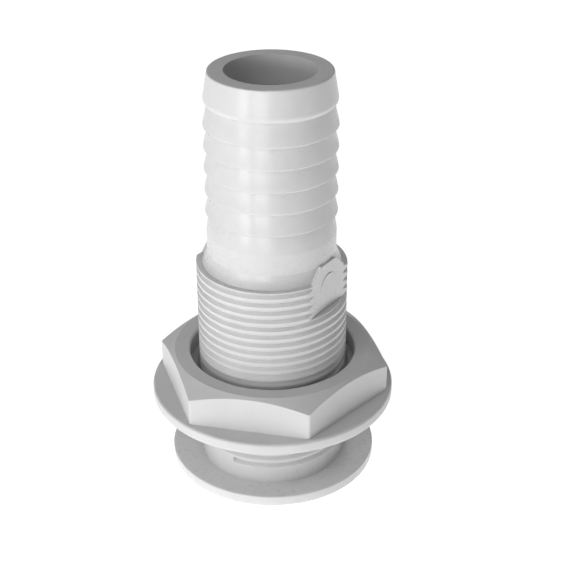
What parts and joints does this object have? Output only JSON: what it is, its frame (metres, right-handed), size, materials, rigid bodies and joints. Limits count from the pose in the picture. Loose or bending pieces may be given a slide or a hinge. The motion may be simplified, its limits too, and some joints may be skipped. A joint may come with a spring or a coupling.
{
  "type": "thru hull fitting",
  "caption": "Plastic thru hull fitting: threaded barrel with mushroom flange and barbed hose tail, held by a flanged hex nut.",
  "frame": {"origin": "on the axis, at the outer face of the mushroom flange, which the part stands on", "axes": "+Z along the bore towards the hose tail; -Y is the side seen from the front; +X to its right"},
  "size_m": [0.079, 0.079, 0.134],
  "materials": {
    "body_plastic": "satin white moulded plastic",
    "nut_plastic": "satin white moulded plastic"
  },
  "bodies": {
    "fitting": {"through_hull_body": "body_plastic"},
    "nut": {"flange_nut": "nut_plastic"}
  },
  "joints": [
    {"name": "nut_travel", "type": "slide", "parent": "fitting", "child": "nut", "axis": [0, 0, 1], "range_m": [-0.0141, 0.12126]}
  ]
}
